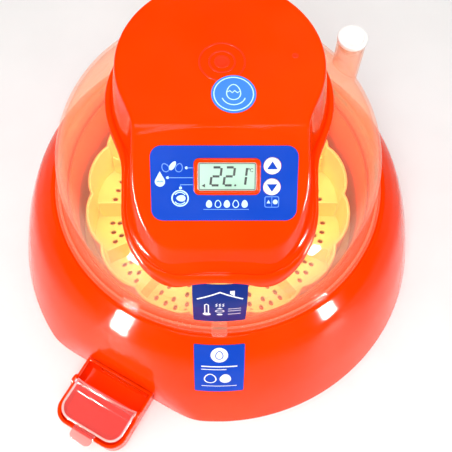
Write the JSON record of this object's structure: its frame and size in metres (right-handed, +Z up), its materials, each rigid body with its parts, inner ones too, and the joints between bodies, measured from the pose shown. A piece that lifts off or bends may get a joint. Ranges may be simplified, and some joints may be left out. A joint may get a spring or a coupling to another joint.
{
  "type": "egg incubator",
  "caption": "Round forced-air egg incubator: flared orange base with water filler hatch, clear lift-off dome, and a control head with display, keys, heater and fan.",
  "frame": {"origin": "centre of the flat underside, on the axis of the round base", "axes": "+Z up along the base's axis, front with the control panel towards -Y, +X to the user's right"},
  "size_m": [0.3888, 0.416, 0.2858],
  "materials": {
    "orange_plastic": "gloss moulded",
    "clear_plastic": "clear gloss",
    "cream_plastic": "satin",
    "label_blue": "printed film",
    "white_plastic": "satin",
    "display": "lcd window",
    "dark_plastic": "textured",
    "rubber": "moulded",
    "steel": "plated",
    "circuit_green": "solder mask"
  },
  "bodies": {
    "base": {"base_shell": "orange_plastic", "bottom_plate": "dark_plastic", "inner_basin": "orange_plastic", "basin_floor": "orange_plastic", "basin_island": "orange_plastic", "floor_grid": "cream_plastic", "filler_trough": "orange_plastic", "base_label": "label_blue", "grip_pad_1": "rubber", "grip_pad_2": "rubber", "grip_pad_3": "rubber", "grip_pad_4": "rubber", "base_screw_1": "steel", "base_screw_2": "steel", "base_screw_3": "steel", "base_screw_4": "steel"},
    "carousel": {"carousel_rim": "cream_plastic", "carousel_hub": "cream_plastic", "egg_divider_1": "cream_plastic", "egg_divider_2": "cream_plastic", "egg_divider_3": "cream_plastic", "egg_divider_4": "cream_plastic", "egg_divider_5": "cream_plastic", "egg_divider_6": "cream_plastic", "egg_divider_7": "cream_plastic", "egg_divider_8": "cream_plastic", "egg_divider_9": "cream_plastic", "egg_divider_10": "cream_plastic", "egg_divider_11": "cream_plastic", "egg_divider_12": "cream_plastic", "egg_divider_13": "cream_plastic", "egg_divider_14": "cream_plastic"},
    "cover": {"dome": "clear_plastic", "port_tube": "clear_plastic", "dome_label": "label_blue", "head_tray": "orange_plastic", "head_cover": "orange_plastic", "control_label": "label_blue", "lcd_bezel": "orange_plastic", "lcd_display": "display", "top_badge": "label_blue", "circuit_board": "circuit_green", "cable_gland": "rubber", "fan_motor": "steel", "fan_guard": "dark_plastic", "heater_ring": "steel", "temperature_probe": "steel", "head_screw_1": "steel", "head_screw_2": "steel", "head_screw_3": "steel", "head_screw_4": "steel"},
    "lid": {"filler_lid": "clear_plastic"},
    "cap": {"port_cap": "white_plastic"},
    "up_key": {"button_up": "white_plastic"},
    "down_key": {"button_down": "white_plastic"},
    "fan": {"fan_impeller": "dark_plastic"}
  },
  "joints": [
    {"name": "cover_lift", "type": "slide", "parent": "base", "child": "cover", "axis": [0, 0, 1], "range_m": [0, 0.16]},
    {"name": "lid_hinge", "type": "hinge", "parent": "base", "child": "lid", "pos_m": [-0.10225, -0.1771, 0.0304], "axis": [-0.866, 0.5, 0], "range_deg": [0, 100]},
    {"name": "carousel_turn", "type": "hinge", "parent": "base", "child": "carousel", "pos_m": [0, 0, 0.0434], "axis": [0, 0, 1], "range_deg": [-26, 26]},
    {"name": "cap_pull", "type": "slide", "parent": "cover", "child": "cap", "axis": [0, 0, 1], "range_m": [0, 0.03]},
    {"name": "up_press", "type": "slide", "parent": "cover", "child": "up_key", "axis": [0, 0.6947, -0.7193], "range_m": [0, 0.0008], "stiffness_N_per_m": 600},
    {"name": "down_press", "type": "slide", "parent": "cover", "child": "down_key", "axis": [0, 0.6947, -0.7193], "range_m": [0, 0.0008], "stiffness_N_per_m": 600},
    {"name": "fan_spin", "type": "hinge", "parent": "cover", "child": "fan", "pos_m": [0, 0, 0.217], "axis": [0, 0, 1], "continuous": true}
  ]
}
